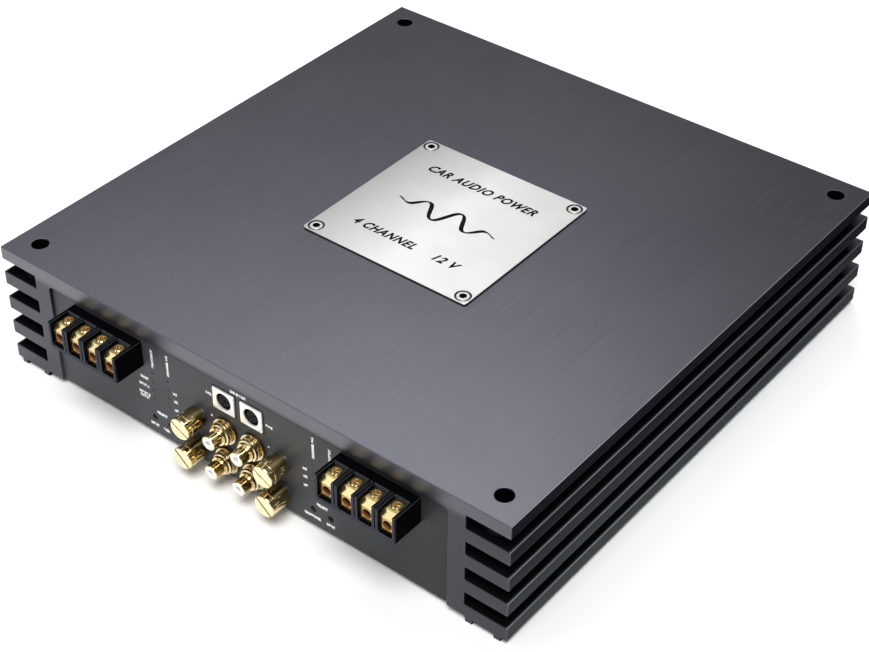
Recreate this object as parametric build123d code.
from build123d import *
from collections import namedtuple
from math import cos, radians, sin
import os

# A four-channel car amplifier in millimetres. X runs along the front, Y to the rear and Z up.
# The origin is the centre of the foot print, on the surface that the amplifier stands on.
# The heatsink is one extrusion along Y. Rear parts are front parts turned half a turn about Z.

# ---------------------------------------------------------------- driving dimensions

WIDTH = 340.0
DEPTH = 340.0
RIB_HEIGHT = 2.5
PLATE_THICKNESS = 8.0
FIN_COUNT = 4
FIN_THICKNESS = 8.5
FIN_GAP = 8.25
FIN_DEPTH = 25.5
COLUMN_WIDTH = 10.5
COLUMN_BOTTOM = 3.5
CROWN_THICKNESS = 10.0
CROWN_CORNER = 3.0
EDGE_BREAK = 0.5
END_CHAMFER = 0.3
SLOT_CORNER = 0.4
RIB_WIDTH = 4.2
RIB_INSETS = (3.6, 20.6)

MOUNT_INSET = 15.0
MOUNT_ACCESS_RADIUS = 5.0
MOUNT_HOLE_RADIUS = 2.75

RAIL_SIZE = 8.0
RAIL_HALF_LENGTH = 149.0
TAPPED_DEPTH = 7.0

PANEL_RECESS = 2.0
PANEL_THICKNESS = 3.0
PANEL_FIT = 0.2
TAB_CENTRE = 95.0
TAB_WIDTH = 30.0
TAB_LENGTH = 15.0
TAB_SCREW_Y = -157.0
COVER_THICKNESS = 2.0
SINK_RADIUS = 2.8
SINK_DEPTH = 1.4

BADGE_SIZE = 111.5
BADGE_THICKNESS = 1.2
BADGE_CORNER = 2.0
BADGE_SCREW_OFFSET = 50.3
BADGE_BORE_RADIUS = 4.7
BADGE_BORE_DEPTH = 0.8
BADGE_HOLE_RADIUS = 2.7
BADGE_HEAD_HEIGHT = 0.9

JACK_SPACING = 19.1
ROW_LEVELS = (43.0, 63.0)
JACK_LENGTH = 13.7
JACK_STEM_RADIUS = 4.0
JACK_SLEEVE_RADIUS = 4.15
JACK_SLEEVE_WALL = 0.45
JACK_PIN_RADIUS = 1.65
CONTACT_RADIUS = 2.3
CONTACT_DEPTH = 3.6
KNOB_OFFSET = 28.35
KNOB_RADIUS = 6.4
KNOB_GAP = 1.7
KNOB_LENGTH = 13.6
KNOB_SLOT_ANGLES = (27.0, 41.0)
SPINDLE_RADIUS = 3.0
POT_BUSH_RADIUS = 4.5
SOCKET_SPACING = 18.8
SOCKET_LEVEL = 23.7
SOCKET_BODY = (15.6, 14.6)
SOCKET_FRAME = (14.6, 13.4)
SOCKET_OPENING = 5.05
SOCKET_GROOVE = (3.5, 4.8)
SOCKET_PIN_CIRCLE = 2.3

BUTTON_X = (-63.1, -51.6, 48.1, 59.6)
BUTTON_LEVEL = 64.0
BUTTON_RADIUS = 1.8
SWITCH_SIZE = 7.0
LAMP_X = (-61.5, -50.4, 49.5, 60.6)
LAMP_LEVELS = (32.5, 38.9, 44.1, 50.0)
LAMP_RADIUS = 0.95

BOARD_THICKNESS = 1.6
BOARD_BOTTOM = 15.5
INPUT_BOARD_Y = -153.0

M3_RADIUS = 1.5
M5_RADIUS = 2.5
THREAD_FIT = 0.05
RUNNING_FIT = 0.05
HOLE_FIT = 0.1

# ---------------------------------------------------------------- derived places

TOP = RIB_HEIGHT + PLATE_THICKNESS + FIN_COUNT * (FIN_GAP + FIN_THICKNESS)
FIN_BOTTOM = RIB_HEIGHT
HALF_WIDTH = WIDTH / 2
HALF_DEPTH = DEPTH / 2
COLUMN_OUTER = HALF_WIDTH - FIN_DEPTH
COLUMN_INNER = COLUMN_OUTER - COLUMN_WIDTH
CEILING = TOP - CROWN_THICKNESS
FRONT = -HALF_DEPTH
PANEL_FRONT = FRONT + PANEL_RECESS
PANEL_BACK = PANEL_FRONT + PANEL_THICKNESS
COVER_TOP = COLUMN_BOTTOM + COVER_THICKNESS
BOARD_TOP = BOARD_BOTTOM + BOARD_THICKNESS
ROWS = [TOP - level for level in ROW_LEVELS]
JACK_X = (-JACK_SPACING / 2, JACK_SPACING / 2)
KNOB_X = (-KNOB_OFFSET, KNOB_OFFSET)
SOCKET_X = (-SOCKET_SPACING / 2, SOCKET_SPACING / 2)
SOCKET_Z = TOP - SOCKET_LEVEL
SOCKET_FACE = PANEL_FRONT - 0.2
JACK_END = PANEL_FRONT - JACK_LENGTH
JACK_BORE = JACK_SLEEVE_RADIUS - JACK_SLEEVE_WALL
BADGE_TOP = TOP + BADGE_THICKNESS
BADGE_SEAT = BADGE_TOP - BADGE_BORE_DEPTH
BADGE_SCREW_PLACES = [(x, y) for x in (-BADGE_SCREW_OFFSET, BADGE_SCREW_OFFSET)
                      for y in (-BADGE_SCREW_OFFSET, BADGE_SCREW_OFFSET)]
BUTTON_Z = TOP - BUTTON_LEVEL
REAR = Rot(0, 0, 180)

# ---------------------------------------------------------------- terminal blocks

Terminal = namedtuple(
    "Terminal",
    "bays pitch bay top bottom floor metal_top metal_back screw_y "
    "wire_z wire_radius wire_depth screw_radius pad_radius pad_thickness screw_length travel "
    "tail_bottom tail_height fixing_x",
)
SPEAKER = Terminal(
    bays=4, pitch=12.4, bay=8.8, top=63.05, bottom=47.1, floor=49.1,
    metal_top=61.05, metal_back=FRONT - 4.0, screw_y=FRONT - 8.0,
    wire_z=54.2, wire_radius=2.7, wire_depth=9.5,
    screw_radius=3.0, pad_radius=2.5, pad_thickness=1.2, screw_length=3.6, travel=4.0,
    tail_bottom=50.0, tail_height=2.0, fixing_x=18.6,
)
POWER = Terminal(
    bays=3, pitch=16.0, bay=12.4, top=65.0, bottom=41.0, floor=43.5,
    metal_top=62.5, metal_back=FRONT - 2.5, screw_y=FRONT - 8.2,
    wire_z=51.5, wire_radius=4.5, wire_depth=11.0,
    screw_radius=4.0, pad_radius=3.4, pad_thickness=1.6, screw_length=5.3, travel=6.25,
    tail_bottom=44.5, tail_height=2.5, fixing_x=8.0,
)
TERMINAL_FRONT = FRONT - 17.35
METAL_FRONT = FRONT - 15.5
METAL_CHAMFER = 3.0
DIVIDER_GROOVE = 0.8
TAIL_WIDTH = 5.0
TAIL_END = -152.0
PAD_REST_GAP = 0.3
SPEAKER_BLOCK_X = (-92.06, 92.06)
FIXING_Z = 58.0

# ---------------------------------------------------------------- inside

SPACER_RADIUS = 3.5
SPACER_PLACES = [(x, y) for x in (-116.0, 116.0) for y in (-135.0, 0.0, 138.0)]
TRANSISTOR_Y = [-105.0 + 30.0 * i for i in range(8)]
CLAMP_SCREW_Y = (-90.0, -30.0, 30.0, 90.0)
CLAMP_Z = 40.0
PAD_THICKNESS = 0.4
TRANSISTOR_THICKNESS = 5.0
CLAMP_THICKNESS = 4.0
TRANSFORMER_PLACES = [(-52.0, 78.0), (52.0, 78.0)]
TRANSFORMER_RADIUS = 46.0
TRANSFORMER_BORE = 16.0
TRANSFORMER_HEIGHT = 38.0
CLAMP_BOLT_RADIUS = 3.0
CAPACITOR_PLACES = [(x, y) for x in (-56.0, -20.0, 20.0, 56.0) for y in (-44.0, -8.0)]
CAPACITOR_RADIUS = 15.0
CAPACITOR_HEIGHT = 42.0
COIL_HEIGHT = 18.0
COIL_PLACES = [(x, -92.0) for x in (-75.0, -25.0, 25.0, 75.0)]
COVER_SCREW_PLACES = [(x, y) for x in (-130.0, 130.0) for y in (-135.0, -45.0, 45.0, 135.0)] + [
    (x, y) for x in (-TAB_CENTRE, TAB_CENTRE) for y in (TAB_SCREW_Y, -TAB_SCREW_Y)
]


# ---------------------------------------------------------------- small helpers


def block(x0, x1, y0, y1, z0, z1):
    """A box between two corners."""
    return Pos((x0 + x1) / 2, (y0 + y1) / 2, (z0 + z1) / 2) * Box(x1 - x0, y1 - y0, z1 - z0)


def rod_z(x, y, z0, z1, radius):
    """A round bar along Z."""
    return Pos(x, y, (z0 + z1) / 2) * Cylinder(radius, z1 - z0)


def rod_y(x, z, y0, y1, radius):
    """A round bar along Y."""
    return Pos(x, (y0 + y1) / 2, z) * Rot(90, 0, 0) * Cylinder(radius, y1 - y0)


def turned(outline, x, z):
    """A turned part from (radius, y) points, about the line along Y through x and z."""
    return Pos(x, 0, z) * revolve(make_face(Polyline(*outline, close=True)), Axis.Y)


def hexagon_bar(across_flats, depth):
    """A hexagonal bar that hangs below the XY plane."""
    return Pos(0, 0, -depth / 2) * extrude(
        RegularPolygon(across_flats / 2, 6, major_radius=False), depth / 2, both=True
    )


def cylinder_head_screw(head_radius, head_height, radius, length, socket, socket_depth):
    """A cylinder-head screw along -Z, seated at the origin, with a hexagon socket."""
    screw = rod_z(0, 0, 0, head_height, head_radius) + rod_z(0, 0, -length, 0, radius)
    rim = screw.edges().filter_by(GeomType.CIRCLE).sort_by(Axis.Z)[-1]
    screw = chamfer(rim, 0.25)
    return screw - Pos(0, 0, head_height) * hexagon_bar(socket, socket_depth)


def countersunk_screw(head_radius, head_height, radius, length, socket):
    """A countersunk screw along -Z with the top of its head at the origin."""
    head = Pos(0, 0, -head_height / 2) * Cone(radius, head_radius, head_height)
    screw = head + rod_z(0, 0, -length, 0, radius)
    return screw - hexagon_bar(socket, head_height * 0.8)


def solids(parts):
    """One node made of several separate solids."""
    return Compound(children=[part.solid() for part in parts])


def on_side(shape, side):
    """A shape made for the right side, as it is or turned half a turn about Z to the left side."""
    return shape if side > 0 else REAR * shape


# ---------------------------------------------------------------- heatsink housing


def housing_section():
    """The cross-section of the extrusion, in the XZ plane seen from the front."""
    section = Pos(0, (TOP + FIN_BOTTOM) / 2) * Rectangle(WIDTH, TOP - FIN_BOTTOM)
    for side in (-1, 1):
        for i in range(FIN_COUNT):
            middle = TOP - PLATE_THICKNESS - FIN_GAP / 2 - i * (FIN_GAP + FIN_THICKNESS)
            slot = Rectangle(FIN_DEPTH + 1, FIN_GAP)
            section -= Pos(side * (COLUMN_OUTER + (FIN_DEPTH + 1) / 2), middle) * slot
        relief = COLUMN_BOTTOM - FIN_BOTTOM
        foot = Rectangle(COLUMN_WIDTH, relief)
        section -= Pos(side * (COLUMN_INNER + COLUMN_WIDTH / 2), FIN_BOTTOM + relief / 2) * foot
        for inset in RIB_INSETS:
            rib = Rectangle(RIB_WIDTH, RIB_HEIGHT)
            section += Pos(side * (HALF_WIDTH - inset - RIB_WIDTH / 2), RIB_HEIGHT / 2) * rib
    channel = Rectangle(2 * COLUMN_INNER, CEILING)
    channel = fillet(channel.vertices().group_by(Axis.Y)[-1], CROWN_CORNER)
    section -= Pos(0, CEILING / 2) * channel
    inner = [v for v in section.vertices() if abs(abs(v.X) - COLUMN_OUTER) < 0.01 and v.Y > FIN_BOTTOM + 1]
    section = fillet(inner, SLOT_CORNER)
    outer = [v for v in section.vertices() if abs(abs(v.X) - HALF_WIDTH) < 0.01]
    return fillet(outer, EDGE_BREAK)


def make_housing():
    body = extrude(Plane.XZ * housing_section(), HALF_DEPTH, both=True)
    ends = body.faces().filter_by(Axis.Y).sort_by(Axis.Y)
    body = chamfer(ends[0].outer_wire().edges() + ends[-1].outer_wire().edges(), END_CHAMFER)
    for side in (-1, 1):
        x0, x1 = sorted((side * (COLUMN_INNER - RAIL_SIZE), side * (COLUMN_INNER + 0.5)))
        body += block(x0, x1, -RAIL_HALF_LENGTH, RAIL_HALF_LENGTH, COVER_TOP, COVER_TOP + RAIL_SIZE)
    for x in (-HALF_WIDTH + MOUNT_INSET, HALF_WIDTH - MOUNT_INSET):
        for y in (-HALF_DEPTH + MOUNT_INSET, HALF_DEPTH - MOUNT_INSET):
            lowest_fin_top = FIN_BOTTOM + FIN_THICKNESS
            body -= rod_z(x, y, lowest_fin_top + 1, TOP + 1, MOUNT_ACCESS_RADIUS)
            body -= rod_z(x, y, 0, lowest_fin_top + 1, MOUNT_HOLE_RADIUS)
    for x, y in BADGE_SCREW_PLACES:
        body -= rod_z(x, y, TOP - TAPPED_DEPTH, TOP + 1, M5_RADIUS + THREAD_FIT)
    for x, y in COVER_SCREW_PLACES:
        if abs(x) > TAB_CENTRE:
            body -= rod_z(x, y, COVER_TOP - 1, COVER_TOP + TAPPED_DEPTH, M3_RADIUS + THREAD_FIT)
    for side in (-1, 1):
        for y in CLAMP_SCREW_Y:
            hole = Rot(0, 90, 0) * Cylinder(M3_RADIUS + THREAD_FIT, 8.5)
            body -= Pos(side * (COLUMN_INNER + 3.25), y, CLAMP_Z) * hole
    return body


# ---------------------------------------------------------------- panels and cover


def panel_blank():
    """The upright plate of a panel with its two bent tabs, at the front."""
    width = 2 * (COLUMN_INNER - PANEL_FIT)
    height = CEILING - PANEL_FIT - COLUMN_BOTTOM
    outline = Rectangle(width, height)
    outline = fillet(outline.vertices().group_by(Axis.Y)[-1], CROWN_CORNER - PANEL_FIT)
    plate = extrude(Plane.XZ * Pos(0, COLUMN_BOTTOM + height / 2) * outline, PANEL_THICKNESS / 2, both=True)
    panel = Pos(0, (PANEL_FRONT + PANEL_BACK) / 2, 0) * plate
    tab_top = COVER_TOP + PANEL_THICKNESS
    tab_back = PANEL_BACK + TAB_LENGTH
    for x in (-TAB_CENTRE, TAB_CENTRE):
        half = TAB_WIDTH / 2
        tab = block(x - half, x + half, PANEL_BACK - 0.5, tab_back, COVER_TOP, tab_top)
        panel += tab - rod_z(x, TAB_SCREW_Y, COVER_TOP - 1, tab_top + 1, M3_RADIUS + THREAD_FIT)
    return panel


def terminal_opening(size, x):
    """The window for the contact tails and the two fixing holes behind a terminal block."""
    half = size.bays * size.pitch / 2 - 3
    low, high = size.tail_bottom - 1.5, size.tail_bottom + size.tail_height + 1.5
    cut = block(x - half, x + half, PANEL_FRONT - 1, PANEL_BACK + 1, low, high)
    for dx in (-size.fixing_x, size.fixing_x):
        cut += rod_y(x + dx, FIXING_Z, PANEL_FRONT - 1, PANEL_BACK + 1, M3_RADIUS + HOLE_FIT)
    return cut


def make_front_panel():
    panel = panel_blank()
    y0, y1 = PANEL_FRONT - 1, PANEL_BACK + 1
    for x in SPEAKER_BLOCK_X:
        panel -= terminal_opening(SPEAKER, x)
    for z in ROWS:
        for x in JACK_X:
            panel -= rod_y(x, z, y0, y1, JACK_STEM_RADIUS + HOLE_FIT)
        for x in KNOB_X:
            panel -= rod_y(x, z, y0, y1, POT_BUSH_RADIUS + HOLE_FIT)
    for x in SOCKET_X:
        half_x, half_z = SOCKET_BODY[0] / 2 + 0.05, SOCKET_BODY[1] / 2 + 0.05
        panel -= block(x - half_x, x + half_x, y0, y1, SOCKET_Z - half_z, SOCKET_Z + half_z)
    for x in BUTTON_X:
        panel -= rod_y(x, BUTTON_Z, y0, y1, BUTTON_RADIUS + 0.15)
    for x in LAMP_X:
        for level in LAMP_LEVELS:
            panel -= rod_y(x, TOP - level, y0, y1, LAMP_RADIUS + HOLE_FIT)
    return panel


def make_rear_panel():
    return REAR * (panel_blank() - terminal_opening(POWER, 0))


def make_cover():
    x, y = COLUMN_INNER - PANEL_FIT, -PANEL_BACK - PANEL_FIT
    cover = block(-x, x, -y, y, COLUMN_BOTTOM, COVER_TOP)
    sink = Cone(SINK_RADIUS + 0.05, M3_RADIUS + 0.05, SINK_DEPTH)
    for px, py in COVER_SCREW_PLACES:
        cover -= Pos(px, py, COLUMN_BOTTOM + SINK_DEPTH / 2) * sink
        cover -= rod_z(px, py, COLUMN_BOTTOM - 1, COVER_TOP + 1, M3_RADIUS + HOLE_FIT)
    for px, py in TRANSFORMER_PLACES:
        cover -= rod_z(px, py, COLUMN_BOTTOM - 1, COVER_TOP + 1, CLAMP_BOLT_RADIUS + 0.2)
    return cover


def make_cover_screws():
    turned_up = Rot(180, 0, 0)
    screw = countersunk_screw(SINK_RADIUS, SINK_DEPTH, M3_RADIUS, 8.0, 2.0)
    return solids([Pos(x, y, COLUMN_BOTTOM) * turned_up * screw for x, y in COVER_SCREW_PLACES])


# ---------------------------------------------------------------- badge


def make_badge():
    plate = fillet(Rectangle(BADGE_SIZE, BADGE_SIZE).vertices(), BADGE_CORNER)
    badge = Pos(0, 0, TOP) * extrude(plate, BADGE_THICKNESS)
    badge = chamfer(badge.faces().sort_by(Axis.Z)[-1].outer_wire().edges(), 0.2)
    for x, y in BADGE_SCREW_PLACES:
        badge -= rod_z(x, y, TOP - 1, BADGE_TOP + 1, BADGE_HOLE_RADIUS)
        badge -= rod_z(x, y, BADGE_SEAT, BADGE_TOP + 1, BADGE_BORE_RADIUS)
    return badge


def make_badge_screws():
    screw = cylinder_head_screw(3.6, BADGE_HEAD_HEIGHT, M5_RADIUS, TAPPED_DEPTH, 4.0, 1.8)
    return solids([Pos(x, y, BADGE_SEAT) * screw for x, y in BADGE_SCREW_PLACES])


# ---------------------------------------------------------------- terminals


def bay_centres(size):
    """The X of each bay, from the middle of its block."""
    return [(i - (size.bays - 1) / 2) * size.pitch for i in range(size.bays)]


def terminal_housing(size):
    """The moulded block: bays open at the top and front, double dividers with a thin groove."""
    half = size.bays * size.pitch / 2
    body = block(-half, half, TERMINAL_FRONT, PANEL_FRONT, size.bottom, size.top)
    front, back, above = TERMINAL_FRONT - 1, size.metal_back, size.top + 1
    slot = TAIL_WIDTH / 2 + HOLE_FIT
    low, high = size.tail_bottom - HOLE_FIT, size.tail_bottom + size.tail_height + HOLE_FIT
    for x in bay_centres(size):
        body -= block(x - size.bay / 2, x + size.bay / 2, front, back, size.floor, above)
        body -= block(x - slot, x + slot, back - 1, PANEL_FRONT + 1, low, high)
    groove = DIVIDER_GROOVE / 2
    for x in bay_centres(size)[:-1]:
        middle = x + size.pitch / 2
        body -= block(middle - groove, middle + groove, front, back, size.floor, above)
    corners = body.edges().filter_by(Axis.Z).filter_by(lambda e: abs(abs(e.center().X) - half) < 0.01)
    body = chamfer(corners.group_by(Axis.Y)[0], EDGE_BREAK)
    for dx in (-size.fixing_x, size.fixing_x):
        body -= rod_y(dx, FIXING_Z, PANEL_FRONT - 5.3, PANEL_FRONT + 1, M3_RADIUS + THREAD_FIT)
    return body


def terminal_contact(size):
    """The metal block of one bay, bored for the wire and for the clamp screw, with its tail."""
    half = size.bay / 2 - 0.05
    metal = block(-half, half, METAL_FRONT, size.metal_back, size.floor, size.metal_top)
    front_top = metal.edges().filter_by(Axis.X).filter_by(lambda e: e.center().Y < METAL_FRONT + 0.01)
    metal = chamfer(front_top.sort_by(Axis.Z)[-1], METAL_CHAMFER)
    metal -= rod_y(0, size.wire_z, METAL_FRONT - 1, METAL_FRONT + size.wire_depth, size.wire_radius)
    low = size.wire_z + size.wire_radius + PAD_REST_GAP - size.travel - 0.2
    metal -= rod_z(0, size.screw_y, low, size.metal_top + 1, size.screw_radius + RUNNING_FIT)
    tail_top = size.tail_bottom + size.tail_height
    half = TAIL_WIDTH / 2
    tail = block(-half, half, size.metal_back - 0.5, TAIL_END, size.tail_bottom, tail_top)
    eye = rod_z(0, TAIL_END - 4, size.tail_bottom - 1, tail_top + 1, 1.3)
    return metal + (tail - eye)


def pressure_pad(size):
    """The disc under a clamp screw, raised clear of the wire bore."""
    bottom = size.wire_z + size.wire_radius + PAD_REST_GAP
    return rod_z(0, size.screw_y, bottom, bottom + size.pad_thickness, size.pad_radius)


def clamp_screw(size):
    """A socket set screw that stands on its pressure pad."""
    bottom = size.wire_z + size.wire_radius + PAD_REST_GAP + size.pad_thickness
    top = bottom + size.screw_length
    screw = rod_z(0, size.screw_y, bottom, top, size.screw_radius)
    rims = screw.edges().filter_by(GeomType.CIRCLE)
    screw = chamfer(rims, 0.4)
    return screw - Pos(0, size.screw_y, top) * hexagon_bar(size.screw_radius, size.screw_length * 0.6)


# ---------------------------------------------------------------- sockets and jacks


def socket_body(x):
    """The moulded body of a mini-DIN socket, with the plug's ring groove, key and contact holes."""
    half_x, half_z = SOCKET_BODY[0] / 2, SOCKET_BODY[1] / 2
    low, high = SOCKET_Z - half_z, SOCKET_Z + half_z
    body = block(x - half_x, x + half_x, SOCKET_FACE, INPUT_BOARD_Y, low, high)
    core_radius, shell_radius = SOCKET_GROOVE
    groove = rod_y(x, SOCKET_Z, SOCKET_FACE - 1, SOCKET_FACE + 5, shell_radius)
    groove -= rod_y(x, SOCKET_Z, SOCKET_FACE - 2, SOCKET_FACE + 6, core_radius)
    body -= groove
    key_low, key_high = SOCKET_Z - 0.6, SOCKET_Z + 0.6
    body -= block(x - 1.1, x + 1.1, SOCKET_FACE - 1, SOCKET_FACE + 4, key_low, key_high)
    for i in range(6):
        angle = radians(30 + 60 * i)
        px, pz = SOCKET_PIN_CIRCLE * cos(angle), SOCKET_PIN_CIRCLE * sin(angle)
        body -= rod_y(x + px, SOCKET_Z + pz, SOCKET_FACE - 1, SOCKET_FACE + 4, 0.5)
    return body


def socket_frame(x):
    """The bright metal frame round the opening of a mini-DIN socket."""
    frame = fillet(Rectangle(*SOCKET_FRAME).vertices(), 0.5) - Circle(SOCKET_OPENING)
    frame = extrude(Plane.XZ * frame, 0.4, both=True)
    return Pos(x, SOCKET_FACE - 0.4, SOCKET_Z) * frame


def phono_jack(x, z):
    """The turned body of a phono jack: stem, flange, stepped collar and sleeve."""
    flange = PANEL_FRONT - 2.2
    outline = [
        (JACK_BORE, INPUT_BOARD_Y), (JACK_STEM_RADIUS, INPUT_BOARD_Y), (JACK_STEM_RADIUS, PANEL_FRONT),
        (7.4, PANEL_FRONT), (7.9, PANEL_FRONT - 0.4), (7.9, flange + 0.3), (7.6, flange),
        (6.1, flange), (6.6, flange - 0.5), (6.6, flange - 1.5), (5.9, flange - 1.8),
        (6.4, flange - 2.2), (6.2, flange - 3.2), (5.4, flange - 3.5), (5.4, flange - 4.8),
        (5.1, flange - 5.1), (JACK_SLEEVE_RADIUS, flange - 5.1),
        (JACK_SLEEVE_RADIUS, JACK_END + 0.3), (JACK_SLEEVE_RADIUS - 0.2, JACK_END), (JACK_BORE, JACK_END),
    ]
    return turned(outline, x, z)


def phono_insulator(x, z):
    """The white insulator that fills the sleeve, with the bore for the plug's pin."""
    tip = JACK_END - 0.1
    step = JACK_END + CONTACT_DEPTH
    outline = [
        (CONTACT_RADIUS, INPUT_BOARD_Y), (JACK_BORE, INPUT_BOARD_Y), (JACK_BORE, JACK_END + 0.1),
        (JACK_BORE - 0.25, tip), (JACK_PIN_RADIUS, tip), (JACK_PIN_RADIUS, step), (CONTACT_RADIUS, step),
    ]
    return turned(outline, x, z)


def phono_contact(x, z):
    """The split centre contact inside the insulator."""
    end = JACK_END + CONTACT_DEPTH
    inner, outer = JACK_PIN_RADIUS, CONTACT_RADIUS
    outline = [(inner, INPUT_BOARD_Y), (outer, INPUT_BOARD_Y), (outer, end), (inner, end)]
    slot = block(x - 0.25, x + 0.25, end - 1, end + 7, z - 3, z + 3)
    return turned(outline, x, z) - slot


# ---------------------------------------------------------------- knobs, buttons and lamps


def level_knob(x, z, slot_angle):
    """A turned knob with its spindle: polished barrel, groove behind the cap and a driver slot."""
    back = PANEL_FRONT - KNOB_GAP
    front = back - KNOB_LENGTH
    cap = front + 3.2
    tail = INPUT_BOARD_Y - 7
    outline = [
        (0, tail), (SPINDLE_RADIUS, tail), (SPINDLE_RADIUS, back - 2), (5.2, back - 2),
        (5.2, back), (KNOB_RADIUS - 0.4, back), (KNOB_RADIUS, back - 0.4), (KNOB_RADIUS, cap + 0.5),
        (KNOB_RADIUS - 0.35, cap + 0.4), (KNOB_RADIUS - 0.35, cap + 0.1), (KNOB_RADIUS, cap),
        (KNOB_RADIUS, front + 0.6), (KNOB_RADIUS - 0.2, front + 0.2), (KNOB_RADIUS - 0.6, front),
        (0, front),
    ]
    slot = Pos(x, front, z) * Rot(0, slot_angle, 0) * Box(2 * KNOB_RADIUS + 2, 1.6, 1.0)
    return turned(outline, x, z) - slot


def level_pot(x, z):
    """A potentiometer body with its bush, bored for the knob's spindle."""
    body = block(x - 6, x + 6, PANEL_BACK, INPUT_BOARD_Y, z - 6, z + 6)
    body += rod_y(x, z, PANEL_FRONT - 1.2, PANEL_BACK + 1, POT_BUSH_RADIUS)
    return body - rod_y(x, z, PANEL_FRONT - 3, INPUT_BOARD_Y - 6, SPINDLE_RADIUS + RUNNING_FIT)


def select_button(x):
    """A push button that sits below the panel's face, with a collar that holds it in."""
    cap_face = PANEL_FRONT + 1.1
    button = rod_y(x, BUTTON_Z, cap_face, INPUT_BOARD_Y - 4, BUTTON_RADIUS)
    button += rod_y(x, BUTTON_Z, PANEL_BACK + 1.5, PANEL_BACK + 2.3, BUTTON_RADIUS + 0.8)
    return chamfer(button.edges().filter_by(GeomType.CIRCLE).sort_by(Axis.Y)[0], 0.2)


def select_switch(x):
    """The switch body that a button works in."""
    half = SWITCH_SIZE / 2
    front = INPUT_BOARD_Y - 5.5
    body = block(x - half, x + half, front, INPUT_BOARD_Y, BUTTON_Z - half, BUTTON_Z + half)
    return body - rod_y(x, BUTTON_Z, front - 1, INPUT_BOARD_Y - 2.5, BUTTON_RADIUS + RUNNING_FIT)


def status_lamp(x, z):
    """A light guide from the input board to the panel's face."""
    return rod_y(x, z, PANEL_FRONT + 0.2, INPUT_BOARD_Y, LAMP_RADIUS)


# ---------------------------------------------------------------- boards and power parts


def make_input_board():
    board = block(-68, 68, INPUT_BOARD_Y, INPUT_BOARD_Y + BOARD_THICKNESS, 9.5, 64)
    for x in SOCKET_X:
        board -= rod_y(x, SOCKET_Z, INPUT_BOARD_Y - 1, INPUT_BOARD_Y + 3, 1.0)
    return board


def make_main_board():
    board = block(-132, 132, -145, 145, BOARD_BOTTOM, BOARD_TOP)
    for x, y in SPACER_PLACES:
        board -= rod_z(x, y, BOARD_BOTTOM - 1, BOARD_TOP + 1, M3_RADIUS + HOLE_FIT)
    for x, y in TRANSFORMER_PLACES:
        board -= rod_z(x, y, BOARD_BOTTOM - 1, BOARD_TOP + 1, CLAMP_BOLT_RADIUS + 0.5)
    return board


def board_spacer(x, y):
    """A round pillar between the cover and the main board, tapped from above."""
    pillar = rod_z(x, y, COVER_TOP, BOARD_BOTTOM, SPACER_RADIUS)
    return pillar - rod_z(x, y, COVER_TOP + 1, BOARD_BOTTOM + 1, M3_RADIUS + THREAD_FIT)


def output_transistor(side, y):
    """A power transistor that stands against a column, with three leads down to the board."""
    back = COLUMN_INNER - PAD_THICKNESS
    face = back - TRANSISTOR_THICKNESS
    body = block(face, back, y - 7.8, y + 7.8, 30, 50)
    for dy in (-5.45, 0, 5.45):
        body += block(face + 2.4, face + 3.0, y + dy - 0.6, y + dy + 0.6, BOARD_TOP, 31)
    return on_side(body, side)


def insulating_pad(side, y):
    """The thin sheet between a transistor and its column."""
    pad = block(COLUMN_INNER - PAD_THICKNESS, COLUMN_INNER, y - 9, y + 9, 28, 52)
    return on_side(pad, side)


def clamp_bar(side):
    """The bar that presses a row of transistors against a column."""
    back = COLUMN_INNER - PAD_THICKNESS - TRANSISTOR_THICKNESS
    bar = block(back - CLAMP_THICKNESS, back, -122, 122, CLAMP_Z - 4, CLAMP_Z + 4)
    for y in CLAMP_SCREW_Y:
        hole = Rot(0, 90, 0) * Cylinder(M3_RADIUS + HOLE_FIT, CLAMP_THICKNESS + 2)
        bar -= Pos(back - CLAMP_THICKNESS / 2, y, CLAMP_Z) * hole
    return on_side(bar, side)


def transformer(x, y):
    """A toroidal transformer with its winding's rounded section."""
    middle = (TRANSFORMER_RADIUS + TRANSFORMER_BORE) / 2
    section = Rectangle(TRANSFORMER_RADIUS - TRANSFORMER_BORE, TRANSFORMER_HEIGHT)
    section = Plane.XZ * Pos(middle, BOARD_TOP + TRANSFORMER_HEIGHT / 2) * fillet(section.vertices(), 8)
    return Pos(x, y, 0) * revolve(section, Axis.Z)


def transformer_clamp(x, y):
    """The disc, bolt and nut that hold a transformer down."""
    seat = BOARD_TOP + TRANSFORMER_HEIGHT
    head = COLUMN_BOTTOM - 2.2
    clamp = rod_z(x, y, seat, seat + 2, 30) + rod_z(x, y, head, seat + 4, CLAMP_BOLT_RADIUS)
    nut = Pos(x, y, seat + 4) * hexagon_bar(10, 2.2)
    return clamp + nut + rod_z(x, y, head, COLUMN_BOTTOM, 5.5)


def storage_capacitor(x, y):
    """A can with a rounded shoulder and the scored vent lines of its top."""
    top = BOARD_TOP + CAPACITOR_HEIGHT
    can = rod_z(x, y, BOARD_TOP, top, CAPACITOR_RADIUS)
    can = fillet(can.edges().filter_by(GeomType.CIRCLE).sort_by(Axis.Z)[-1], 1.5)
    for angle in (0, 60, 120):
        can -= Pos(x, y, top) * Rot(0, 0, angle) * Box(20, 0.6, 0.8)
    return can


def output_coil(x, y):
    """An air-cored filter coil, standing on the main board."""
    winding = rod_z(x, y, BOARD_TOP, BOARD_TOP + COIL_HEIGHT, 12)
    return winding - rod_z(x, y, BOARD_TOP - 1, BOARD_TOP + COIL_HEIGHT + 1, 6)


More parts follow.
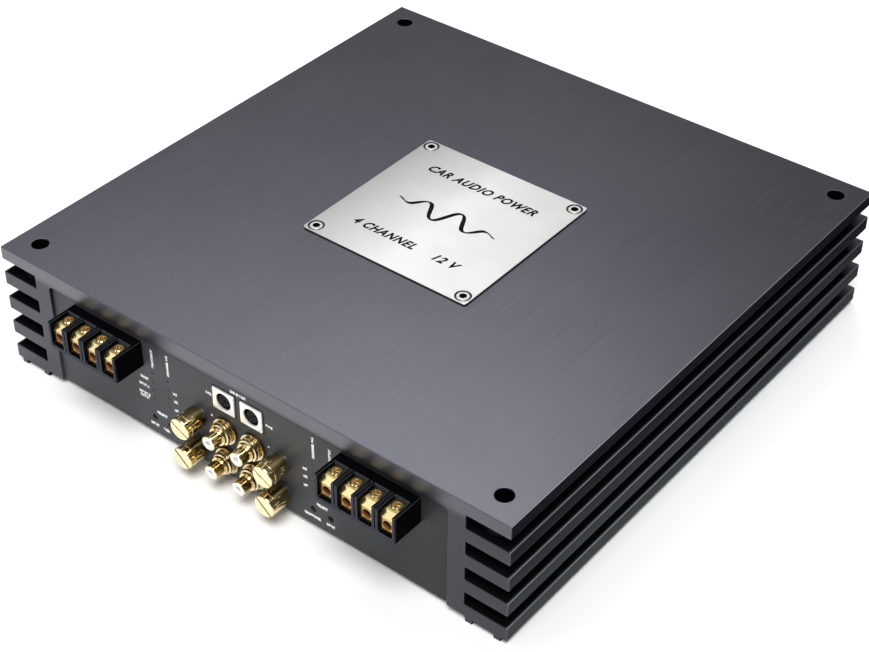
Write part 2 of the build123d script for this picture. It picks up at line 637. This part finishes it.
def make_machine_screws():
    """The M3 cylinder-head screws: main board, terminal blocks and clamp bars."""
    short = cylinder_head_screw(2.75, 2.0, M3_RADIUS, 8.0, 2.5, 1.4)
    long = cylinder_head_screw(2.75, 2.0, M3_RADIUS, 16.0, 2.5, 1.4)
    screws = [Pos(x, y, BOARD_TOP) * short for x, y in SPACER_PLACES]
    into_front = Rot(-90, 0, 0)
    for x in SPEAKER_BLOCK_X:
        for dx in (-SPEAKER.fixing_x, SPEAKER.fixing_x):
            screws.append(Pos(x + dx, PANEL_BACK, FIXING_Z) * into_front * short)
    for dx in (-POWER.fixing_x, POWER.fixing_x):
        screws.append(REAR * Pos(dx, PANEL_BACK, FIXING_Z) * into_front * short)
    seat = COLUMN_INNER - PAD_THICKNESS - TRANSISTOR_THICKNESS - CLAMP_THICKNESS
    for side in (-1, 1):
        for y in CLAMP_SCREW_Y:
            screws.append(on_side(Pos(seat, y, CLAMP_Z) * Rot(0, -90, 0) * long, side))
    return solids(screws)


# ---------------------------------------------------------------- assembly


def grid(make, xs, zs):
    """One solid for each place of a grid on the front."""
    return solids([make(x, z) for z in zs for x in xs])


def make_nodes():
    nodes = {
        "heatsink_housing": make_housing(),
        "front_panel": make_front_panel(),
        "rear_panel": make_rear_panel(),
        "bottom_cover": make_cover(),
        "cover_screws": make_cover_screws(),
        "machine_screws": make_machine_screws(),
        "badge_plate": make_badge(),
        "badge_screws": make_badge_screws(),
        "left_terminal_housing": Pos(SPEAKER_BLOCK_X[0], 0, 0) * terminal_housing(SPEAKER),
        "right_terminal_housing": Pos(SPEAKER_BLOCK_X[1], 0, 0) * terminal_housing(SPEAKER),
        "power_terminal_housing": REAR * terminal_housing(POWER),
    }
    speaker_places = [Pos(x + dx, 0, 0) for x in SPEAKER_BLOCK_X for dx in bay_centres(SPEAKER)]
    power_places = [REAR * Pos(dx, 0, 0) for dx in bay_centres(POWER)]
    contacts = [place * terminal_contact(SPEAKER) for place in speaker_places]
    contacts += [place * terminal_contact(POWER) for place in power_places]
    nodes["terminal_contacts"] = solids(contacts)
    for kind, size, places in (("speaker", SPEAKER, speaker_places), ("power", POWER, power_places)):
        for number, place in enumerate(places, 1):
            nodes[f"{kind}_pressure_pad_{number}"] = place * pressure_pad(size)
            nodes[f"{kind}_clamp_screw_{number}"] = place * clamp_screw(size)
    nodes["socket_bodies"] = solids([socket_body(x) for x in SOCKET_X])
    nodes["socket_frames"] = solids([socket_frame(x) for x in SOCKET_X])
    nodes["phono_jacks"] = grid(phono_jack, JACK_X, ROWS)
    nodes["phono_insulators"] = grid(phono_insulator, JACK_X, ROWS)
    nodes["phono_contacts"] = grid(phono_contact, JACK_X, ROWS)
    knob_places = [(x, z, angle) for x in KNOB_X for z, angle in zip(ROWS, KNOB_SLOT_ANGLES)]
    for number, place in enumerate(knob_places, 1):
        nodes[f"level_knob_{number}"] = level_knob(*place)
    nodes["level_pots"] = grid(level_pot, KNOB_X, ROWS)
    for number, x in enumerate(BUTTON_X, 1):
        nodes[f"select_button_{number}"] = select_button(x)
    nodes["select_switches"] = solids([select_switch(x) for x in BUTTON_X])
    nodes["status_lamps"] = grid(status_lamp, LAMP_X, [TOP - level for level in LAMP_LEVELS])
    nodes["main_board"] = make_main_board()
    nodes["input_board"] = make_input_board()
    nodes["board_spacers"] = solids([board_spacer(x, y) for x, y in SPACER_PLACES])
    nodes["transformers"] = solids([transformer(x, y) for x, y in TRANSFORMER_PLACES])
    nodes["transformer_clamps"] = solids([transformer_clamp(x, y) for x, y in TRANSFORMER_PLACES])
    sides = [(side, y) for side in (-1, 1) for y in TRANSISTOR_Y]
    nodes["output_transistors"] = solids([output_transistor(side, y) for side, y in sides])
    nodes["insulating_pads"] = solids([insulating_pad(side, y) for side, y in sides])
    nodes["clamp_bars"] = solids([clamp_bar(side) for side in (-1, 1)])
    nodes["storage_capacitors"] = solids([storage_capacitor(x, y) for x, y in CAPACITOR_PLACES])
    nodes["output_coils"] = solids([output_coil(x, y) for x, y in COIL_PLACES])
    return nodes


os.makedirs("parts", exist_ok=True)
for name, shape in make_nodes().items():
    export_step(shape, f"parts/{name}.step")
